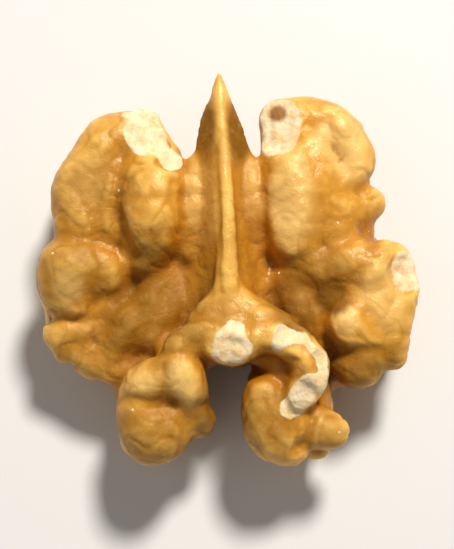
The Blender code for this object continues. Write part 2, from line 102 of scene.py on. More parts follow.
# Each fold is a chain of x, y, z and radius, in mm
FOLDS = {
    "left_upper_outer": [
        (-7.4, 11.2, 7.4, 1.9),
        (-9.3, 10.5, 7.5, 2.3),
        (-10.7, 8.4, 7.3, 2.4),
        (-11.7, 6.2, 7.0, 2.4),
        (-11.4, 3.8, 6.6, 2.5),
    ],
    "left_upper_band": [(-6.6, 11.6, 8.0, 1.6), (-5.8, 10.2, 8.3, 1.5), (-4.7, 8.9, 8.3, 1.3)],
    "left_upper_inner": [
        (-5.4, 9.0, 8.2, 1.7),
        (-5.9, 6.6, 8.4, 2.7),
        (-6.0, 3.8, 8.1, 2.75),
        (-6.1, 1.4, 7.0, 2.1),
    ],
    "left_upper_web": [(-7.5, 9.6, 7.6, 2.1), (-8.3, 7.0, 7.5, 2.2), (-8.7, 4.0, 6.9, 2.2)],
    "left_middle": [(-9.8, 0.2, 6.2, 2.5), (-12.3, 0.1, 6.8, 2.8), (-12.6, -2.1, 6.6, 2.2)],
    "left_knob": [(-11.4, -4.0, 5.6, 2.0), (-13.2, -4.9, 5.8, 1.6)],
    "left_margin": [
        (-12.7, -5.8, 5.2, 1.5),
        (-11.6, -5.9, 5.3, 1.6),
        (-10.3, -7.2, 5.2, 1.6),
        (-8.3, -7.6, 5.2, 1.6),
    ],
    "left_swell_high": [(-5.4, -0.8, 6.2, 1.7), (-5.9, -2.6, 6.2, 1.8)],
    "left_swell_low": [(-7.4, -4.0, 5.9, 2.0), (-8.6, -5.6, 5.3, 2.0)],
    "left_valley": [
        (-4.2, 2.4, 5.5, 1.6),
        (-4.3, 0.0, 5.8, 1.7),
        (-4.5, -2.6, 6.0, 1.8),
        (-5.6, -4.8, 6.0, 1.9),
    ],
    "left_curl": [
        (-3.7, -8.2, 9.4, 1.7),
        (-6.2, -9.2, 8.6, 1.8),
        (-6.3, -11.0, 7.2, 2.3),
        (-5.5, -12.4, 6.6, 3.1),
    ],
    "left_curl_side": [(-3.3, -8.6, 8.9, 1.9), (-2.9, -10.1, 8.2, 1.7), (-2.2, -11.7, 5.9, 1.6)],
    "left_curl_middle": [(-4.8, -9.6, 7.7, 1.7), (-4.5, -11.2, 7.4, 1.9)],
    "bridge": [
        (-3.6, -6.4, 9.4, 1.4),
        (-1.8, -5.5, 9.8, 1.4),
        (0.4, -6.2, 9.8, 1.8),
        (2.5, -5.5, 9.8, 1.4),
        (4.5, -5.8, 9.8, 1.5),
        (6.2, -6.8, 9.6, 1.6),
        (6.6, -8.6, 9.2, 1.5),
        (5.8, -10.1, 8.9, 1.4),
    ],
    "bridge_foot": [
        (-4.0, -7.2, 7.4, 1.8),
        (-0.2, -5.4, 7.6, 2.0),
        (3.4, -6.2, 7.4, 1.8),
        (4.9, -7.9, 7.3, 1.8),
    ],
    "saddle_left": [(-0.1, -2.6, 9.2, 1.3), (-1.6, -4.7, 8.9, 1.7)],
    "saddle_middle": [(0.3, -2.6, 9.1, 1.5), (0.4, -4.0, 8.8, 2.0), (0.4, -5.4, 8.9, 2.1)],
    "saddle_right": [(0.5, -2.4, 9.2, 1.4), (2.2, -4.2, 8.9, 1.8), (4.2, -5.4, 9.0, 1.8)],
    "right_curl": [(2.9, -9.9, 8.0, 1.6), (3.6, -12.3, 7.0, 2.4), (4.8, -13.6, 6.4, 1.9)],
    "right_curl_knob": [(4.5, -12.0, 6.8, 2.0), (6.4, -12.2, 6.9, 1.9), (8.5, -12.8, 6.8, 1.4)],
    "right_curl_foot": [(6.0, -13.0, 4.8, 1.6), (7.3, -13.7, 4.6, 1.2)],
    "ridge": [
        (-0.55, 15.0, 9.9, 0.35),
        (-0.35, 12.0, 10.2, 0.45),
        (-0.1, 8.0, 10.35, 0.55),
        (0.1, 4.0, 10.35, 0.7),
        (0.1, 0.0, 10.0, 0.95),
        (0.2, -2.4, 9.5, 1.3),
    ],
    "left_strip": [
        (-2.5, 8.4, 8.4, 0.8),
        (-2.5, 7.0, 8.4, 1.1),
        (-2.6, 5.2, 8.3, 1.15),
        (-2.8, 3.4, 7.8, 1.15),
        (-3.0, 1.6, 7.0, 1.2),
    ],
    "right_strip": [
        (1.9, 8.5, 8.4, 0.8),
        (2.0, 7.0, 8.4, 1.05),
        (2.2, 5.2, 8.3, 1.1),
        (2.5, 3.6, 7.8, 1.1),
        (2.8, 2.0, 7.1, 1.15),
    ],
    "right_upper_outer": [
        (4.6, 12.0, 7.6, 2.0),
        (6.8, 12.1, 7.5, 2.2),
        (8.8, 11.2, 7.5, 2.2),
        (10.0, 9.3, 7.4, 2.1),
        (9.4, 7.6, 7.2, 2.0),
        (8.8, 6.2, 7.1, 2.1),
    ],
    "right_upper_inner": [
        (4.9, 10.6, 7.9, 2.2),
        (5.2, 8.0, 8.2, 2.5),
        (5.4, 5.2, 8.3, 2.6),
        (5.4, 2.9, 8.0, 2.3),
        (5.4, 1.2, 7.3, 1.6),
    ],
    "right_upper_web": [
        (7.0, 9.6, 7.7, 2.3),
        (7.1, 6.8, 7.8, 2.4),
        (7.2, 4.4, 7.7, 2.3),
        (7.0, 2.6, 7.3, 2.0),
    ],
    "right_shoulder": [(7.6, 6.3, 7.6, 2.0), (8.5, 4.4, 7.4, 2.3), (8.7, 2.4, 7.0, 2.1)],
    "right_knob": [(9.2, 4.4, 7.0, 2.2), (10.4, 5.1, 6.9, 1.9), (11.3, 5.5, 6.8, 1.6)],
    "right_knob_foot": [(10.4, 3.6, 6.0, 1.8), (9.4, 6.4, 6.2, 1.8)],
    "right_shelf": [(5.6, 0.7, 7.0, 1.8), (7.8, 0.3, 7.1, 2.2), (10.2, 0.5, 7.5, 2.3)],
    "right_slope": [(5.0, -0.8, 6.3, 1.8), (6.1, -2.9, 6.3, 1.95), (7.4, -5.0, 6.1, 2.0)],
    "right_hollow": [(8.5, -0.9, 6.8, 2.0), (8.3, -2.7, 6.4, 1.9)],
    "right_lower_rim": [
        (11.4, -0.2, 7.7, 2.2),
        (13.0, 0.7, 7.3, 1.8),
        (13.7, -1.6, 7.1, 1.7),
        (12.8, -4.2, 7.0, 2.0),
        (13.0, -6.4, 6.2, 1.6),
    ],
    "right_lower_plate": [(11.9, -1.4, 7.2, 2.2), (11.8, -3.4, 7.1, 2.3), (11.9, -5.4, 6.7, 2.0)],
    "right_lower_inner": [
        (10.6, -2.6, 6.8, 2.1),
        (9.5, -4.5, 7.9, 2.0),
        (10.9, -5.6, 6.9, 2.4),
        (10.5, -7.1, 6.2, 2.3),
    ],
}

# Creases of the inner face: depth and width in mm, and the route as x, y.
# They fade out under this range of z
CREASE_FADE = (5.0, 6.5)
CREASES = {
    "midrib": (0.22, 0.15, [(-0.72, 9.0), (-0.62, 6.0), (-0.5, 2.0), (-0.55, -0.6), (-0.3, -2.4)]),
    "left_folds": (0.45, 0.5, [(-8.1, 9.2), (-8.6, 7.0), (-8.9, 4.9), (-8.4, 2.7), (-7.4, 0.9)]),
    "left_ball": (0.4, 0.4, [(-15.0, -3.7), (-13.5, -3.6), (-11.9, -4.2), (-10.3, -3.9)]),
    "right_top": (0.18, 0.4, [(8.0, 12.0), (8.3, 10.3), (9.0, 8.8), (9.7, 7.6)]),
    "right_low": (0.35, 0.5, [(7.6, -5.8), (9.4, -6.9), (11.9, -6.5)]),
    "left_curl": (0.3, 0.5, [(-7.6, -10.3), (-5.4, -11.0), (-3.8, -10.8), (-2.7, -11.4), (-1.3, -10.8)]),
    "left_curl_top": (0.2, 0.35, [(-4.8, -8.0), (-4.6, -9.8), (-3.9, -11.0)]),
    "right_curl": (0.4, 0.4, [(6.8, -11.5), (6.4, -13.2), (5.4, -14.4)]),
}

# Sections of the blade that ends in the tip, and of its widening foot: y, middle x, half width at the edges,
# half width of the underside, and z of the edges, crest and underside
BLADE = [
    (15.7, -0.58, 0.25, 0.15, 9.95, 10.2, 9.8),
    (14.0, -0.52, 0.9, 0.5, 9.6, 10.4, 9.1),
    (12.6, -0.50, 1.5, 0.8, 9.2, 10.5, 8.4),
    (10.3, -0.25, 2.2, 1.2, 8.7, 10.6, 7.5),
    (8.1, -0.25, 2.7, 1.6, 8.4, 10.7, 6.8),
    (5.8, -0.2, 3.0, 3.2, 8.1, 10.7, 5.4),
    (3.6, -0.2, 3.4, 4.4, 7.6, 10.6, 4.6),
    (0.0, 0.1, 4.3, 5.2, 6.6, 10.3, 4.4),
    (-3.0, 0.3, 4.9, 5.6, 6.3, 9.9, 4.4),
    (-5.4, 0.4, 4.3, 4.8, 6.3, 9.4, 4.6),
]

# Half the width of the crest, in mm, and the most it may be as a share of that at the edges
CREST_WIDTH = 0.4
TIP_CREST_SHARE = 0.6

# Where each flank of the blade turns from steep to flat, as shares of its width and of its drop
KNEE_PLACE = 0.5
KNEE_DROP = 0.62

# Half the width of the blade that stays plain at its foot, and how fast that narrows to the tip.
# It turns plain over these ranges: mm inside that width, y and z
PLAIN_WIDTH = 2.6
PLAIN_TAPER = 0.06
PLAIN_EDGE = (0.0, 1.2)
PLAIN_FOOT = (-3.0, 0.0)
PLAIN_HEIGHT = (5.5, 7.0)

# The rounded back behind the folds: centre and radii
BODIES = [
    ((-6.6, 1.4, 3.1), (5.4, 9.6, 3.9)),
    ((6.6, 1.2, 3.1), (5.4, 9.8, 3.9)),
    ((-9.0, 6.6, 4.0), (5.0, 6.2, 3.9)),
    ((-9.8, -1.8, 3.6), (5.2, 6.0, 3.6)),
    ((7.4, 8.0, 4.0), (4.7, 6.1, 3.9)),
    ((9.5, -2.4, 3.9), (5.4, 6.7, 3.9)),
    ((11.2, -2.2, 5.1), (3.6, 4.6, 4.2)),
    ((0.0, 0.4, 4.4), (4.8, 8.2, 2.9)),
    ((-5.4, -10.0, 4.0), (3.5, 5.1, 3.6)),
    ((5.2, -9.8, 4.0), (3.6, 4.9, 3.6)),
]

# Broken facets: x, y, radius, how far the plane lies under the surface, and the direction it faces.
# A facet fades out between these shares of its radius, and takes nothing higher than its reach.
# The surface over its centre is the highest point within the sample radius
CHIP_FADE = (0.85, 1.25)
CHIP_REACH = 2.5
CHIP_SAMPLE = 0.45
CHIPS = {
    "left_band_top": (-6.5, 12.1, 1.7, 0.6, (0.25, 0.3, 1.0)),
    "left_band_middle": (-5.9, 10.6, 1.6, 0.55, (0.35, 0.15, 1.0)),
    "left_band_low": (-4.6, 9.0, 1.6, 0.55, (0.55, 0.25, 1.0)),
    "right_top": (4.5, 11.6, 2.5, 0.8, (-0.35, 0.1, 1.0)),
    "bridge_middle": (0.4, -6.7, 1.7, 0.55, (0.0, -0.35, 1.0)),
    "bridge_right": (5.3, -6.2, 1.5, 0.45, (0.15, 0.3, 1.0)),
    "bend": (7.2, -8.3, 1.5, 0.5, (0.45, 0.0, 1.0)),
    "bend_end": (5.6, -10.4, 1.4, 0.45, (0.1, -0.35, 1.0)),
    "right_rim": (13.9, -0.5, 1.5, 0.45, (0.5, 0.0, 1.0)),
}

# Bare flesh on the broken facets: half width and route of each band, with x and y in mm.
# A band fades out between these shares of its half width, and stays on skin that faces up and lies this high
BAND_FADE = (0.7, 1.25)
BAND_FACING = (0.15, 0.45)
BAND_HEIGHT = (6.0, 7.0)
BANDS = {
    "left_top": (1.35, [(-6.8, 12.6), (-6.4, 11.2), (-6.0, 10.0)]),
    "left_low": (0.85, [(-5.6, 9.6), (-4.3, 8.6)]),
    "right_top": (1.75, [(3.8, 12.1), (4.6, 11.6), (4.0, 10.7)]),
    "bridge_low": (1.3, [(0.3, -7.3), (0.5, -5.9)]),
    "bridge_high": (0.55, [(0.8, -5.7), (1.0, -5.2)]),
    "bridge_right": (0.85, [(4.4, -6.0), (6.0, -5.8)]),
    "bend": (0.65, [(6.3, -6.2), (7.2, -7.3), (7.5, -8.8)]),
    "bend_end": (0.9, [(7.0, -9.2), (5.9, -10.0), (5.1, -10.8)]),
    "right_rim": (1.05, [(14.1, 0.3), (14.1, -0.8)]),
}

# How uneven the edges of the bands are, in cycles a mm and mm
EDGE_SCALE = 0.6
EDGE_REACH = 0.7

# Fine relief of the skin and of the broken flesh: scale in cycles a mm and height in mm.
# The blade keeps this share of the skin's
SKIN_RELIEF = ((0.9, 0.07), (1.6, 0.045))
FLESH_RELIEF = ((0.8, 0.14), (1.5, 0.12))
BLADE_RELIEF = 0.4
FINE_CREASE_SCALE = 0.4
FINE_CREASE_DEPTH = 0.07
FINE_CREASE_WIDTH = 0.06
RELIEF_SEED = Vector((5.9, 13.3, 2.1))

# Rounds of relaxing that find narrow creases
FINE_ROUNDS = 25

# How open each point lies, which sets the painted shade of the skin: rays sent out, how far they look and
# start, in mm, rounds of evening out, the turn from ray to ray, and the upward share of a normal that counts
# as upright
SKY_RAYS = 18
SKY_REACH = 7.0
SKY_START = 0.02
SKY_ROUNDS = 4
GOLDEN_ANGLE = math.pi * (3 - math.sqrt(5))
UPRIGHT = 0.9

# Brown spot on a broken facet: x, y and radius in mm, and the share of its radius that is full brown
STAIN = (4.15, 12.5, 0.95)
STAIN_CORE = 0.5

# Browner and paler skin on the inner face, partly the skin's own tone and partly painted shade and painted
# light: centre, half widths and share of each patch, with x and y in mm.
# A patch fades out between these shares of its size, is this uneven, and stays above this range of z
PATCH_FADE = (0.5, 1.2)
PATCH_SCALE = 0.35
PATCH_REACH = 0.5
PATCH_HEIGHT = (4.5, 6.0)
# Paler skin, partly painted light on the lit sides and highlights of the folds
PALE_AND_LIT_PATCHES = {
    "left_strip": (-2.5, 6.0, 0.8, 3.0, 0.5),
    "right_strip": (2.0, 6.0, 0.8, 2.6, 0.4),
    "left_plate": (-11.2, 7.6, 2.4, 3.6, 0.3),
    "left_ball": (-12.2, -1.5, 1.2, 1.4, 0.7),
    "blade_left": (-1.4, 5.0, 0.9, 3.6, 0.3),
    "right_bump": (9.5, -4.5, 1.5, 1.4, 0.95),
    "right_outer": (9.2, 9.8, 2.4, 3.4, 0.85),
    "right_inner": (4.9, 5.0, 2.2, 4.4, 0.8),
    "right_plate": (12.2, -2.4, 2.2, 3.0, 0.5),
    "left_curl_bump": (-3.2, -9.2, 1.3, 1.8, 0.8),
    "left_curl_top": (-6.2, -9.2, 1.2, 1.0, 0.7),
    "saddle": (0.4, -3.4, 2.4, 1.5, 0.2),
}
# Browner skin, partly painted shade in valleys and on sides that face away from the light
BROWN_AND_SHADED_PATCHES = {
    "left_valley": (-5.4, -3.2, 4.8, 4.8, 0.7),
    "left_margin": (-9.2, -6.0, 4.6, 2.6, 0.45),
    "left_plate": (-10.0, 5.6, 2.8, 5.0, 0.25),
    "blade_left": (-1.7, 11.0, 1.0, 3.4, 0.85),
    "blade_right": (0.9, 11.0, 1.0, 3.4, 0.9),
    "left_ball": (-11.8, -0.6, 3.8, 3.4, 0.4),
    "right_slope": (5.4, -3.0, 2.4, 4.2, 0.75),
    "right_hollow": (8.1, -2.3, 1.9, 1.7, 0.9),
    "right_low": (10.0, -7.8, 4.2, 2.2, 0.65),
    "left_curl": (-5.2, -13.2, 3.8, 2.8, 0.5),
    "left_curl_side": (-1.4, -11.8, 1.3, 2.8, 0.6),
    "right_curl": (3.4, -11.6, 2.2, 2.6, 0.45),
    "right_curl_knob": (8.0, -12.8, 2.0, 1.6, 0.35),
    "right_shelf": (6.8, 0.2, 2.6, 1.4, 0.5),
}

# Colours of the skin and of the bare flesh, as 8-bit sRGB
COLOURS = {
    "gold": (204, 141, 44),
    "light gold": (222, 157, 52),
    # Paler skin on crests, partly the skin's own tone and partly painted highlight
    "crest_and_highlight": (246, 194, 96),
    # Pale skin, partly painted light
    "pale_and_lit": (255, 210, 126),
    # Painted shade where the kernel closes round a point, darkest in narrow places
    "shaded": (188, 120, 24),
    "deep_shade": (136, 78, 12),
    # Darker skin in creases, partly thicker skin and partly painted shade
    "crease": (152, 90, 14),
    # Brown skin, partly painted shade
    "brown_and_shade": (124, 80, 16),
    "mottle": (174, 114, 28),
    "vein": (150, 88, 24),
    "fleck": (252, 208, 128),
    # Cream crumbs, partly painted glints
    "crumb_and_glint": (252, 226, 178),
    "flesh": (248, 228, 188),
    "dark flesh": (236, 200, 142),
    "stain": (160, 110, 56),
    "gloss": (255, 236, 200),
}

# Noise fields of the material: cycles a mm, detail, roughness, distortion, and a shift that keeps them apart.
# Their values lie about the middle
PATTERNS = {
    "gold": (0.16, 2.0, 0.5, 0.0, 0.0),
    "mottle": (0.3, 2.0, 0.5, 0.0, 2.0),
    "vein": (0.2, 2.0, 0.4, 0.3, 5.0),
    "flesh": (1.2, 5.0, 0.65, 0.0, 8.0),
    "gloss": (0.5, 3.0, 0.5, 0.0, 11.0),
    "fold": (0.9, 5.0, 0.6, 0.4, 14.0),
    "fleck": (0.9, 4.0, 0.7, 0.0, 17.0),
    "dimple": (1.6, 3.0, 0.5, 0.0, 20.0),
    "ragged edge": (1.8, 3.0, 0.6, 0.0, 23.0),
    "grain": (2.4, 4.0, 0.5, 0.0, 26.0),
}
NOISE_MIDDLE = 0.5

# Where each tint comes in: start and end of its range, and its share at the end.
# Crest and crease go by the depth under the surface round them in mm, shaded and deep by the share of
# open room, and the others by a noise field. Crest is partly painted highlight, and crease, shaded and deep
# are partly painted shade
TINTS = {
    "light gold": (0.35, 0.65, 1.0),
    "crest_and_highlight": (-0.01, -0.2, 1.0),
    "shaded": (0.9, 0.5, 1.0),
    "deep_shade": (0.5, 0.15, 1.0),
    "crease": (0.05, 0.32, 1.0),
    "mottle": (0.4, 0.7, 0.3),
    "vein": (0.03, 0.0, 0.18),
    "fleck": (0.5, 0.72, 0.14),
    "dark flesh": (0.4, 0.65, 1.0),
}

# Pale crumbs, partly painted glints: cells a mm, largest radius as a share of a cell, and the share of the
# cells that hold one
CRUMBS_AND_GLINTS = (0.8, 0.1, 0.35)

# How ragged the edge of the bare flesh is, and the range over which it takes over from the skin
RAGGED_REACH = 1.2
RAGGED_RANGE = (0.25, 0.75)

# Roughness of the glossiest and the dullest skin, the range of noise between them,
# and what bare flesh and the brown patches, which are partly painted shade, add
ROUGHNESS = (0.3, 0.46)
GLOSS_RANGE = (0.3, 0.7)
FLESH_ROUGHNESS = 0.3
BROWN_ROUGHNESS = 0.2

# Strength of the reflection on plain skin and on the brownest patches, which are partly painted shade
REFLECTION = (0.5, 0.15)

# Light that passes through: share, reach of red, green and blue, and the scale of that reach in mm
SUBSURFACE = 0.3
SUBSURFACE_RADIUS = (1.0, 0.45, 0.15)
SUBSURFACE_SCALE = 0.8

# Relief too fine for the mesh: depth in mm and strength.
# A fold ends at this value of its noise, and the grain of the flesh has this many cells a mm
FOLD_BUMP = (0.07, 0.3)
DIMPLE_BUMP = (0.08, 0.28)
GRAIN_BUMP = (0.1, 0.45)
FOLD_WIDTH = 0.12
GRAIN_CELLS = 2.2

# Camera and stage, in metres and degrees, with the lens and its sensor in mm
TARGET = (0.0, 0.0, 0.0055)
CAMERA_ELEVATION = 80
FRAME_HEIGHT = 0.0445
LENS = 100
SENSOR_HEIGHT = 36
CLIP_RANGE = (0.01, 10)
FLOOR_SIZE = 4.0
FLOOR_COLOUR = (0.82, 0.81, 0.79, 1.0)
FLOOR_ROUGHNESS = 0.7
WORLD_COLOUR = (1.0, 0.98, 0.95, 1.0)
WORLD_STRENGTH = 0.17

# Each light: name, azimuth, elevation, distance, size, watts and colour
LIGHTS = [
    ("key", 158, 52, 0.5, 0.1, 2.95, (1.0, 0.96, 0.9)),
    ("fill", 300, 60, 0.6, 0.5, 0.3, (1.0, 0.98, 0.96)),
]


def unit_ball():
    """Points and triangles of an icosphere of radius 1."""
    work = bmesh.new()
    bmesh.ops.create_icosphere(work, subdivisions=BALL_SPLITS, radius=1.0)
    points = np.array([v.co for v in work.verts])
    faces = [[v.index for v in f.verts] for f in work.faces]
    work.free()
    return points, faces


def smooth_chain(points):
    """Rows along a Catmull-Rom curve through the given rows, close enough for the balls to overlap."""
    rows = np.array(points, float)
    padded = np.vstack([2 * rows[0] - rows[1], rows, 2 * rows[-1] - rows[-2]])
    out = []
    for a, b, c, d in zip(padded, padded[1:], padded[2:], padded[3:]):
        gap = np.linalg.norm(c[:3] - b[:3])
        steps = math.ceil(gap / (BEAD_STEP * min(b[3], c[3])))
        for t in np.arange(steps) / steps:
            bend = (2 * a - 5 * b + 4 * c - d) * t**2
            twist = (3 * b - a - 3 * c + d) * t**3
            out.append(0.5 * (2 * b + (c - a) * t + bend + twist))
    return np.array(out + [rows[-1]])


def ellipsoids():
    """Centre and radii of every ball in the kernel, in mm."""
    for centre, radii in BODIES:
        yield centre, radii
    for chain in FOLDS.values():
        for x, y, z, radius in smooth_chain(chain):
            yield (x, y, z), (radius,) * 3


def blade_shell():
    """Points and faces of the roof-shaped blade."""
    points, faces = [], []
    for y, middle, half, foot, edge, crest_and_highlight, under in BLADE:
        top = min(CREST_WIDTH, TIP_CREST_SHARE * half)
        knee = top + KNEE_PLACE * (half - top)
        knee_z = crest_and_highlight - KNEE_DROP * (crest_and_highlight - edge)
        section = [
            (-half, edge),
            (-knee, knee_z),
            (-top, crest_and_highlight),
            (top, crest_and_highlight),
            (knee, knee_z),
            (half, edge),
            (foot, under),
            (-foot, under),
        ]
        points += [(middle + across, y, z) for across, z in section]
    count = len(section)
    for row in range(len(BLADE) - 1):
        for i in range(count):
            a = row * count + i
            b = row * count + (i + 1) % count
            faces.append([a, a + count, b + count, b])
    faces.append(list(range(count)))
    faces.append(list(range(len(points) - 1, len(points) - 1 - count, -1)))
    return np.array(points), faces


def rough_body(name):
    """Every ball and the blade, overlapping in one mesh."""
    ball, ball_faces = unit_ball()
    blade, faces = blade_shell()
    points = [blade]
    start = len(blade)
    for centre, radii in ellipsoids():
        points.append(ball * radii + centre)
        faces += [[i + start for i in face] for face in ball_faces]
        start += len(ball)
    mesh = bpy.data.meshes.new(name)
    mesh.from_pydata(np.vstack(points).tolist(), [], faces)
    obj = bpy.data.objects.new(name, mesh)
    bpy.context.scene.collection.objects.link(obj)
    return obj


def apply_modifiers(obj):
    graph = bpy.context.evaluated_depsgraph_get()
    mesh = bpy.data.meshes.new_from_object(obj.evaluated_get(graph))
    obj.modifiers.clear()
    obj.data = mesh


def fuse(obj, voxel, smooth_area):
    """One closed skin round everything in the mesh, smoothed by the same amount at any voxel size."""
    remesh = obj.modifiers.new("fuse", "REMESH")
    remesh.mode = "VOXEL"
    remesh.voxel_size = voxel
    smooth = obj.modifiers.new("soften", "SMOOTH")
    smooth.factor = SMOOTH_FACTOR
    # Most points have four neighbours, so a pass smooths by a quarter of the factor times the voxel's area
    pass_area = SMOOTH_FACTOR * voxel**2 / 4
    smooth.iterations = max(1, round(smooth_area / pass_area))
    apply_modifiers(obj)


def points_of(obj):
    points = np.empty(len(obj.data.vertices) * 3, np.float32)
    obj.data.vertices.foreach_get("co", points)
    return points.reshape(-1, 3).astype(float)


def normals_of(obj):
    return np.array([v.normal for v in obj.data.vertices])


def move_points(obj, points):
    obj.data.vertices.foreach_set("co", points.astype(np.float32).ravel())
    obj.data.update()


def ramp(value, start, end):
    """0 at the start and 1 at the end of the range, eased."""
    t = np.clip((value - start) / (end - start), 0.0, 1.0)
    return t * t * (3 - 2 * t)


def groove_field(point):
    """How far this point is pressed in by the grooves of the back, in mm."""
    p = Vector(point)
    bent = p + BEND_REACH * Vector([noise.noise(p * BEND_SCALE + seed) for seed in BEND_SEEDS])
    groove = noise.noise(bent * Vector(GROOVE_SCALE) + GROOVE_SEED)
    wrinkle = noise.noise(p * WRINKLE_SCALE)
    press = GROOVE_DEPTH * math.exp(-((groove / GROOVE_WIDTH) ** 2))
    return press + WRINKLE_DEPTH * math.exp(-((wrinkle / WRINKLE_WIDTH) ** 2))


def lump_field(point):
    """How far this point stands out, in mm."""
    p = Vector(point) + LUMP_SEED
    return sum(height * noise.noise(p * scale) for scale, height in LUMPS)


def blade_share(points):
    """1 on the blade and its foot, 0 elsewhere."""
    width = PLAIN_WIDTH - PLAIN_TAPER * np.maximum(points[:, 1], 0.0)
    inside = ramp(width - np.abs(points[:, 0]), *PLAIN_EDGE)
    return inside * ramp(points[:, 1], *PLAIN_FOOT) * ramp(points[:, 2], *PLAIN_HEIGHT)


def back_share(points, normals):
    """1 on the rounded back, a little on the folds of the inner face."""
    facing = ramp(normals[:, 2], *BACK_FACING)
    low = ramp(points[:, 2], *BACK_HEIGHT)
    curls = 1 - CURL_LOSS * ramp(points[:, 1], *CURL_START)
    return np.maximum(facing * low * curls, INNER_FACE_SHARE)


def route_gap(points, line):
    """How far each point lies from the route, seen from above, in mm."""
    flat, route = points[:, :2], np.array(line)
    gap = np.full(len(points), np.inf)
    for start, end in zip(route, route[1:]):
        along = end - start
        t = np.clip((flat - start) @ along / (along @ along), 0.0, 1.0)
        gap = np.minimum(gap, np.linalg.norm(flat - start - np.outer(t, along), axis=1))
    return gap


def crease_press(points):
    """How far each point is pressed in by the named creases, in mm."""
    press = np.zeros(len(points))
    for depth, width, line in CREASES.values():
        press += depth * np.exp(-((route_gap(points, line) / width) ** 2))
    return press * ramp(points[:, 2], *CREASE_FADE)


def press_grooves_and_lumps(obj):
    points, normals = points_of(obj), normals_of(obj)
    plain = 1 - blade_share(points)
    share = back_share(points, normals) * plain
    press = np.array([groove_field(p) for p in points]) * share + crease_press(points)
    lumps = np.array([lump_field(p) for p in points]) * (BLADE_LUMPS + (1 - BLADE_LUMPS) * plain)
    move_points(obj, points + normals * (lumps - press)[:, None])


def chip_planes(points):
    """Centre, unit normal and radius of each broken facet, placed under the surface."""
    for x, y, radius, depth, facing in CHIPS.values():
        near = np.hypot(points[:, 0] - x, points[:, 1] - y) < CHIP_SAMPLE
        top = points[near][:, 2].max()
        normal = np.array(facing) / np.linalg.norm(facing)
        yield np.array([x, y, top - depth]), normal, radius


def press_chips(obj):
    points = points_of(obj)
    for centre, normal, radius in chip_planes(points):
        offset = points - centre
        height = offset @ normal
        reach = np.linalg.norm(offset - np.outer(height, normal), axis=1)
        share = 1 - ramp(reach, radius * CHIP_FADE[0], radius * CHIP_FADE[1])
        above = (height > 0) & (height < CHIP_REACH)
        points -= np.outer(np.where(above, height * share, 0.0), normal)
    move_points(obj, points)


def full_body(name):
    """The whole kernel before it is placed, in mm."""
    kernel = rough_body(name)
    fuse(kernel, VOXEL, SMOOTH_AREA)
    press_grooves_and_lumps(kernel)
    press_chips(kernel)
    fuse(kernel, VOXEL, LAST_SMOOTH_AREA)
    return kernel


def place(obj):
    """Fits the width and length of the solid, with the rest plane at z = 0, in metres."""
    points = points_of(obj)
    low, high = points.min(axis=0), points.max(axis=0)
    cad_low, cad_high = np.array(CAD_BOX[0]), np.array(CAD_BOX[1])
    middle = (low + high) / 2
    middle[2] = low[2] + REST_CUT
    scale = (cad_high - cad_low) / (high - low)
    scale[2] = MM
    points = (points - middle) * scale
    points[:, :2] += (cad_low + cad_high)[:2] / 2
    points[:, 2] = np.maximum(points[:, 2], 0.0)
    move_points(obj, points)


def add_attribute(obj, name, values):
    attribute = obj.data.attributes.new(name, "FLOAT", "POINT")
    attribute.data.foreach_set("value", np.asarray(values, np.float32))


def edge_ends(obj):
    ends = np.empty(len(obj.data.edges) * 2, np.int32)
    obj.data.edges.foreach_get("vertices", ends)
    return ends.reshape(-1, 2)


def relaxed(columns, ends, rounds):
    """The rows after so many rounds of taking each to the mean of its neighbours."""
    first = np.concatenate([ends[:, 0], ends[:, 1]])
    second = np.concatenate([ends[:, 1], ends[:, 0]])
    rows = len(columns)
    count = np.bincount(first, minlength=rows)
    out = columns.copy()
    for _ in range(rounds):
        out = np.stack([np.bincount(first, column[second], rows) / count for column in out.T], axis=1)
    return out


def creases(obj):
    """How far each point lies under the surface round it, in mm: above 0 in a crease, below on a crest."""
    points = points_of(obj)
    return ((relaxed(points, edge_ends(obj), FINE_ROUNDS) - points) * normals_of(obj)).sum(axis=1)


def openness(obj):
    """The share of the room in front of each point that the kernel leaves open."""
    points, normals = points_of(obj), normals_of(obj)
    tree = BVHTree.FromPolygons(points.tolist(), [list(face.vertices) for face in obj.data.polygons])
    upright = np.abs(normals[:, 2:]) > UPRIGHT
    side = np.cross(normals, np.where(upright, [1.0, 0.0, 0.0], [0.0, 0.0, 1.0]))
    side /= np.linalg.norm(side, axis=1, keepdims=True)
    other = np.cross(normals, side)
    starts = [Vector(start) for start in points + normals * SKY_START]
    blocked = np.zeros((len(points), 1))
    for i in range(SKY_RAYS):
        lean = (i + 0.5) / SKY_RAYS
        turn = i * GOLDEN_ANGLE
        flat = side * math.cos(turn) + other * math.sin(turn)
        rays = normals * math.sqrt(1 - lean) + flat * math.sqrt(lean)
        hits = [tree.ray_cast(start, ray, SKY_REACH)[2] for start, ray in zip(starts, rays.tolist())]
        blocked[:, 0] += [hit is not None for hit in hits]
    return 1 - relaxed(blocked, edge_ends(obj), SKY_ROUNDS)[:, 0] / SKY_RAYS


def broken_share(points, normals):
    """1 on the bands of bare flesh, 0 on the skin, with an uneven edge."""
    ragged = np.array([noise.noise(Vector(p) * EDGE_SCALE) for p in points]) * EDGE_REACH
    share = np.zeros(len(points))
    for half, line in BANDS.values():
        reach = (route_gap(points, line) + ragged) / half
        share = np.maximum(share, 1 - ramp(reach, *BAND_FADE))
    return share * ramp(normals[:, 2], *BAND_FACING) * ramp(points[:, 2], *BAND_HEIGHT)


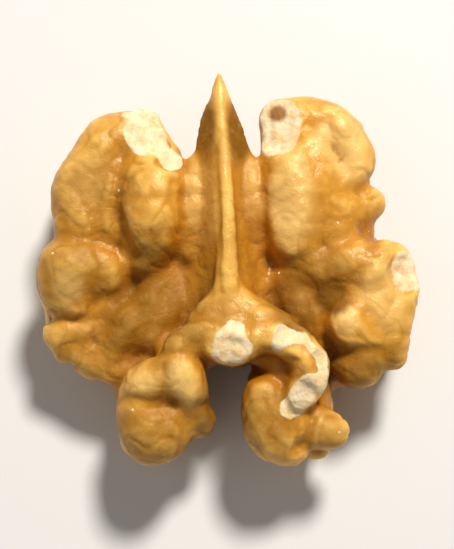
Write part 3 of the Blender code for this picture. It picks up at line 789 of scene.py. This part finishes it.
def patch_share(points, patches):
    """How strong the named patches of the inner face are at each point."""
    ragged = np.array([noise.noise(Vector(p) * PATCH_SCALE) for p in points]) * PATCH_REACH
    share = np.zeros(len(points))
    for x, y, across, along, strength in patches.values():
        reach = np.hypot((points[:, 0] - x) / across, (points[:, 1] - y) / along) + ragged
        share = np.maximum(share, strength * (1 - ramp(reach, *PATCH_FADE)))
    return share * ramp(points[:, 2], *PATCH_HEIGHT)


def relief_field(point, relief):
    p = Vector(point) + RELIEF_SEED
    return sum(height * noise.noise(p * scale) for scale, height in relief)


def fine_crease(point):
    """How far this point is pressed in by the fine creases of the skin, in mm."""
    value = noise.noise((Vector(point) - RELIEF_SEED) * FINE_CREASE_SCALE)
    return FINE_CREASE_DEPTH * math.exp(-((value / FINE_CREASE_WIDTH) ** 2))


def add_relief(obj, broken):
    """Small wrinkles on the skin, and grain on the broken facets."""
    points, normals = points_of(obj), normals_of(obj)
    plain = 1 - blade_share(points)
    skin = np.array([relief_field(p, SKIN_RELIEF) - fine_crease(p) for p in points])
    flesh = np.array([relief_field(p, FLESH_RELIEF) for p in points])
    height = skin * (1 - broken) * (BLADE_RELIEF + (1 - BLADE_RELIEF) * plain) + flesh * broken
    move_points(obj, points + normals * height[:, None])


def colour(name):
    """The linear colour of this name, by the sRGB curve."""
    shares = np.array(COLOURS[name]) / 255
    linear = np.where(shares <= 0.04045, shares / 12.92, ((shares + 0.055) / 1.055) ** 2.4)
    return (*[float(share) for share in linear], 1.0)


class Nodes:
    """Short ways to add and join the nodes of one material."""

    def __init__(self, name):
        self.material = bpy.data.materials.new(name)
        self.material.use_nodes = True
        self.tree = self.material.node_tree
        self.shader = self.tree.nodes["Principled BSDF"]
        self.place = self.add("ShaderNodeTexCoord").outputs["Object"]

    def add(self, kind, **settings):
        node = self.tree.nodes.new(kind)
        for name, value in settings.items():
            setattr(node, name, value)
        return node

    def feed(self, socket, value):
        if isinstance(value, bpy.types.NodeSocket):
            self.tree.links.new(value, socket)
        else:
            socket.default_value = value

    def attribute(self, name):
        return self.add("ShaderNodeAttribute", attribute_name=name).outputs["Fac"]

    def pattern(self, name):
        """The noise field of this name."""
        per_mm, detail, roughness, distortion, shift = PATTERNS[name]
        node = self.add("ShaderNodeTexNoise", noise_dimensions="4D")
        self.feed(node.inputs["Vector"], self.place)
        self.feed(node.inputs["W"], shift)
        self.feed(node.inputs["Scale"], per_mm / MM)
        self.feed(node.inputs["Detail"], detail)
        self.feed(node.inputs["Roughness"], roughness)
        self.feed(node.inputs["Distortion"], distortion)
        return node.outputs["Fac"]

    def centred(self, name):
        """The noise field of this name, moved to lie about 0."""
        return self.math("SUBTRACT", self.pattern(name), NOISE_MIDDLE)

    def cells(self, per_mm):
        node = self.add("ShaderNodeTexVoronoi")
        self.feed(node.inputs["Vector"], self.place)
        self.feed(node.inputs["Scale"], per_mm / MM)
        return node

    def crumbs_and_glints(self, per_mm, size, share):
        """1 on small dots, at this share of the points of a scattered grid."""
        node = self.cells(per_mm)
        pick = self.add("ShaderNodeSeparateColor")
        self.feed(pick.inputs[0], node.outputs["Color"])
        chosen = self.math("LESS_THAN", pick.outputs[0], share)
        reach = self.math("MULTIPLY", pick.outputs[1], size)
        dot = self.math("LESS_THAN", node.outputs["Distance"], reach)
        return self.math("MULTIPLY", dot, chosen)

    def ramp(self, value, start, end, out_start=0.0, out_end=1.0):
        node = self.add("ShaderNodeMapRange", interpolation_type="SMOOTHSTEP")
        self.feed(node.inputs["Value"], value)
        self.feed(node.inputs["From Min"], start)
        self.feed(node.inputs["From Max"], end)
        self.feed(node.inputs["To Min"], out_start)
        self.feed(node.inputs["To Max"], out_end)
        return node.outputs["Result"]

    def tint(self, name, value):
        """How strong the tint of this name is at that value of its measure."""
        start, end, share = TINTS[name]
        return self.ramp(value, start, end, 0.0, share)

    def math(self, operation, a, b=0.0):
        node = self.add("ShaderNodeMath", operation=operation)
        self.feed(node.inputs[0], a)
        self.feed(node.inputs[1], b)
        return node.outputs[0]

    def mix(self, share, a, b):
        node = self.add("ShaderNodeMix", data_type="RGBA")
        self.feed(node.inputs["Factor"], share)
        self.feed(node.inputs[6], a)
        self.feed(node.inputs[7], b)
        return node.outputs[2]

    def bump(self, height, distance_mm, strength, normal=None):
        node = self.add("ShaderNodeBump")
        self.feed(node.inputs["Height"], height)
        self.feed(node.inputs["Distance"], distance_mm * MM)
        self.feed(node.inputs["Strength"], strength)
        if normal is not None:
            self.feed(node.inputs["Normal"], normal)
        return node.outputs["Normal"]


def bare_flesh(n):
    """1 on the bare flesh and 0 on the skin, with a ragged edge between them."""
    ragged = n.math("MULTIPLY", n.centred("ragged edge"), RAGGED_REACH)
    return n.ramp(n.math("ADD", n.attribute("broken"), ragged), *RAGGED_RANGE)


def skin_colour(n, brown_and_shade):
    """Gold, paler on crests and browner in creases and narrow places, partly the skin's own tone and partly
    painted highlight and painted shade, with veins, flecks and crumbs that are partly painted glints.
    """
    depth = n.attribute("crease")
    room = n.attribute("open")
    shares = {
        "crest_and_highlight": n.tint("crest_and_highlight", depth),
        "pale_and_lit": n.attribute("pale_and_lit"),
        "shaded": n.tint("shaded", room),
        "deep_shade": n.tint("deep_shade", room),
        "crease": n.tint("crease", depth),
        "brown_and_shade": brown_and_shade,
        "mottle": n.tint("mottle", n.pattern("mottle")),
        "vein": n.tint("vein", n.math("ABSOLUTE", n.centred("vein"))),
        "fleck": n.tint("fleck", n.pattern("fleck")),
        "crumb_and_glint": n.crumbs_and_glints(*CRUMBS_AND_GLINTS),
    }
    skin = n.mix(n.tint("light gold", n.pattern("gold")), colour("gold"), colour("light gold"))
    for name, share in shares.items():
        skin = n.mix(share, skin, colour(name))
    return skin


def flesh_colour(n):
    """Cream flesh with a brown spot."""
    flesh = n.mix(n.tint("dark flesh", n.pattern("flesh")), colour("flesh"), colour("dark flesh"))
    return n.mix(n.attribute("stain"), flesh, colour("stain"))


def set_gloss(n, flesh, brown_and_shade):
    """Waxy on the skin, duller on the brown patches, which are partly painted shade, and dull on the flesh.
    """
    rough = n.ramp(n.pattern("gloss"), *GLOSS_RANGE, *ROUGHNESS)
    rough = n.math("ADD", rough, n.math("MULTIPLY", flesh, FLESH_ROUGHNESS))
    rough = n.math("ADD", rough, n.math("MULTIPLY", brown_and_shade, BROWN_ROUGHNESS))
    n.feed(n.shader.inputs["Roughness"], rough)
    n.feed(n.shader.inputs["Specular IOR Level"], n.ramp(brown_and_shade, 0.0, 1.0, *REFLECTION))
    n.feed(n.shader.inputs["Specular Tint"], colour("gloss"))


def set_bumps(n, flesh):
    """Small folds and dimples all over, and grain on the flesh."""
    fold = n.ramp(n.math("ABSOLUTE", n.centred("fold")), 0.0, FOLD_WIDTH)
    normal = n.bump(fold, *FOLD_BUMP)
    normal = n.bump(n.pattern("dimple"), *DIMPLE_BUMP, normal)
    grain = n.math("ADD", n.cells(GRAIN_CELLS).outputs["Distance"], n.pattern("grain"))
    normal = n.bump(n.math("MULTIPLY", grain, flesh), *GRAIN_BUMP, normal)
    n.feed(n.shader.inputs["Normal"], normal)


def skin_material():
    """Thin golden seed skin, with cream flesh where it is broken."""
    n = Nodes("skin")
    brown_and_shade = n.attribute("brown_and_shade")
    flesh = bare_flesh(n)
    n.feed(n.shader.inputs["Base Color"], n.mix(flesh, skin_colour(n, brown_and_shade), flesh_colour(n)))
    set_gloss(n, flesh, brown_and_shade)
    n.feed(n.shader.inputs["Subsurface Weight"], SUBSURFACE)
    n.feed(n.shader.inputs["Subsurface Radius"], SUBSURFACE_RADIUS)
    n.feed(n.shader.inputs["Subsurface Scale"], SUBSURFACE_SCALE * MM)
    set_bumps(n, flesh)
    return n.material


def dressed_kernel():
    kernel = full_body("kernel_skin")
    points = points_of(kernel)
    broken = broken_share(points, normals_of(kernel))
    add_relief(kernel, broken)
    # Depth under the surface round each point, which sets paler crests and darker creases, partly painted
    # highlight and painted shade
    add_attribute(kernel, "crease", creases(kernel))
    # Open share of each point, which sets the painted shade
    add_attribute(kernel, "open", openness(kernel))
    # Browner skin, partly painted shade
    add_attribute(kernel, "brown_and_shade", patch_share(points, BROWN_AND_SHADED_PATCHES))
    # Paler skin, partly painted light on lit folds
    add_attribute(kernel, "pale_and_lit", patch_share(points, PALE_AND_LIT_PATCHES))
    x, y, radius = STAIN
    spot = np.hypot(points[:, 0] - x, points[:, 1] - y)
    place(kernel)
    add_attribute(kernel, "broken", broken)
    add_attribute(kernel, "stain", broken * (1 - ramp(spot, radius * STAIN_CORE, radius)))
    kernel.data.shade_smooth()
    kernel.data.materials.append(skin_material())
    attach(kernel, "root")
    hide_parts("kernel")


def floor():
    """A wide pale sheet that the kernel lies on."""
    bpy.ops.mesh.primitive_plane_add(size=FLOOR_SIZE, location=(0, 0, 0))
    sheet = bpy.context.object
    sheet.name = "floor"
    n = Nodes("floor")
    n.feed(n.shader.inputs["Base Color"], FLOOR_COLOUR)
    n.feed(n.shader.inputs["Roughness"], FLOOR_ROUGHNESS)
    sheet.data.materials.append(n.material)


def direction(azimuth, elevation):
    """Unit vector from the kernel towards that side. Azimuth 0 is the side of -Y, and 90 is +X."""
    a, e = math.radians(azimuth), math.radians(elevation)
    return Vector((math.sin(a) * math.cos(e), -math.cos(a) * math.cos(e), math.sin(e)))


def aim(obj, azimuth, elevation, distance):
    """Puts the object on that side of the kernel, facing it."""
    towards = direction(azimuth, elevation)
    obj.location = Vector(TARGET) + towards * distance
    obj.rotation_mode = "QUATERNION"
    obj.rotation_quaternion = towards.to_track_quat("Z", "Y")
    bpy.context.scene.collection.objects.link(obj)


def lights():
    for name, azimuth, elevation, distance, size, watts, rgb in LIGHTS:
        data = bpy.data.lights.new(name, "AREA")
        data.shape = "DISK"
        data.size = size
        data.energy = watts
        data.color = rgb
        aim(bpy.data.objects.new(name, data), azimuth, elevation, distance)
    world = bpy.data.worlds.new("studio")
    world.use_nodes = True
    background = world.node_tree.nodes["Background"]
    background.inputs["Color"].default_value = WORLD_COLOUR
    background.inputs["Strength"].default_value = WORLD_STRENGTH
    bpy.context.scene.world = world


def camera():
    data = bpy.data.cameras.new("camera")
    data.lens = LENS
    data.sensor_fit = "VERTICAL"
    data.sensor_height = SENSOR_HEIGHT
    data.clip_start, data.clip_end = CLIP_RANGE
    eye = bpy.data.objects.new("camera", data)
    aim(eye, 0, CAMERA_ELEVATION, FRAME_HEIGHT * LENS / SENSOR_HEIGHT)
    bpy.context.scene.camera = eye


dressed_kernel()
floor()
lights()
camera()
bpy.context.scene.view_settings.view_transform = "Standard"
